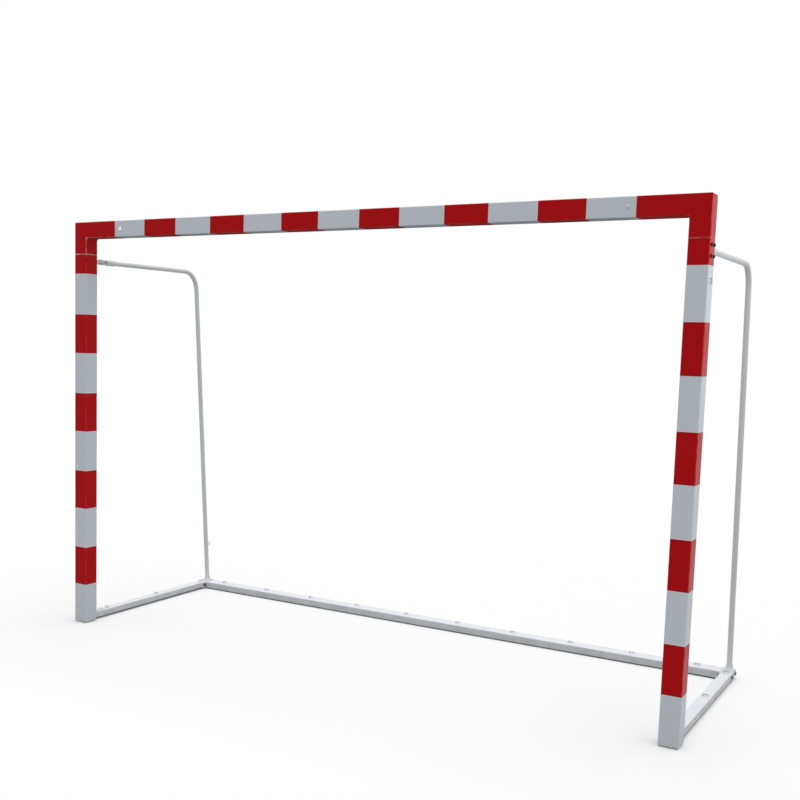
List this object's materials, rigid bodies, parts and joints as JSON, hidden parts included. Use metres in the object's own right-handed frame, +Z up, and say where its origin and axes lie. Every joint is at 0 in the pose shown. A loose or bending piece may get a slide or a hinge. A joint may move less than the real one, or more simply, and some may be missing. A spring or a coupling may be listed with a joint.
{
  "type": "handball goal",
  "caption": "Free-standing handball goal with a striped square mouth, a steel ground frame and side net supports that swing on post hinges.",
  "frame": {"origin": "on the floor, midway between the posts and midway through the depth of the goal", "axes": "+X along the crossbar, +Y from the mouth towards the back of the goal, +Z up"},
  "size_m": [3.182, 1.1026, 2.08],
  "materials": {
    "striped_enamel": "sprayed enamel on steel profile, white with red stripes (0.545, 0.003, 0.006)",
    "red_enamel": "sprayed red enamel on steel",
    "white_frame_enamel": "satin white powder coat on steel",
    "zinc_plated_steel": "bright zinc plating",
    "blackened_steel": "blackened, lightly oiled",
    "black_nylon": "plain turned nylon",
    "black_rubber": "matte ribbed pad",
    "grey_white_plastic": "moulded, slightly matte"
  },
  "bodies": {
    "standing_frame": {"crossbar": "striped_enamel", "rear_ground_bar": "white_frame_enamel", "left_upright": "striped_enamel", "left_post_screw_1": "blackened_steel", "left_post_screw_2": "blackened_steel", "left_post_screw_3": "blackened_steel", "left_post_screw_4": "blackened_steel", "left_post_sleeve": "zinc_plated_steel", "left_crossbar_sleeve": "zinc_plated_steel", "left_crossbar_screw": "zinc_plated_steel", "left_corner": "red_enamel", "left_post_cap": "grey_white_plastic", "left_upper_hinge_tongue": "white_frame_enamel", "left_upper_hinge_top_washer": "black_nylon", "left_upper_hinge_bottom_washer": "black_nylon", "left_upper_hinge_pin": "zinc_plated_steel", "left_lower_hinge_bracket": "white_frame_enamel", "left_lower_hinge_pin": "zinc_plated_steel", "left_rear_bar_end_plate": "white_frame_enamel", "left_rubber_pad": "black_rubber", "right_upright": "striped_enamel", "right_post_screw_1": "blackened_steel", "right_post_screw_2": "blackened_steel", "right_post_screw_3": "blackened_steel", "right_post_screw_4": "blackened_steel", "right_post_sleeve": "zinc_plated_steel", "right_crossbar_sleeve": "zinc_plated_steel", "right_crossbar_screw": "zinc_plated_steel", "right_corner": "red_enamel", "right_post_cap": "grey_white_plastic", "right_upper_hinge_tongue": "white_frame_enamel", "right_upper_hinge_top_washer": "black_nylon", "right_upper_hinge_bottom_washer": "black_nylon", "right_upper_hinge_pin": "zinc_plated_steel", "right_lower_hinge_bracket": "white_frame_enamel", "right_lower_hinge_pin": "zinc_plated_steel", "right_rear_bar_end_plate": "white_frame_enamel", "right_rubber_pad": "black_rubber"},
    "left_side_frame": {"left_side_ground_bar": "white_frame_enamel", "left_side_bar_front_cap": "grey_white_plastic", "left_side_bar_rear_cap": "grey_white_plastic", "left_net_support_tube": "white_frame_enamel", "left_hinge_fork": "white_frame_enamel", "left_support_foot": "white_frame_enamel", "left_corner_bolt_front": "blackened_steel", "left_corner_bolt_rear": "blackened_steel"},
    "right_side_frame": {"right_side_ground_bar": "white_frame_enamel", "right_side_bar_front_cap": "grey_white_plastic", "right_side_bar_rear_cap": "grey_white_plastic", "right_net_support_tube": "white_frame_enamel", "right_hinge_fork": "white_frame_enamel", "right_support_foot": "white_frame_enamel", "right_corner_bolt_front": "blackened_steel", "right_corner_bolt_rear": "blackened_steel"}
  },
  "joints": [
    {"name": "left_side_frame_hinge", "type": "hinge", "parent": "standing_frame", "child": "left_side_frame", "pos_m": [-1.54, -0.39865, 0], "axis": [0, 0, 1], "range_deg": [0, 120]},
    {"name": "right_side_frame_hinge", "type": "hinge", "parent": "standing_frame", "child": "right_side_frame", "pos_m": [1.54, -0.39865, 0], "axis": [0, 0, -1], "range_deg": [0, 120]}
  ]
}
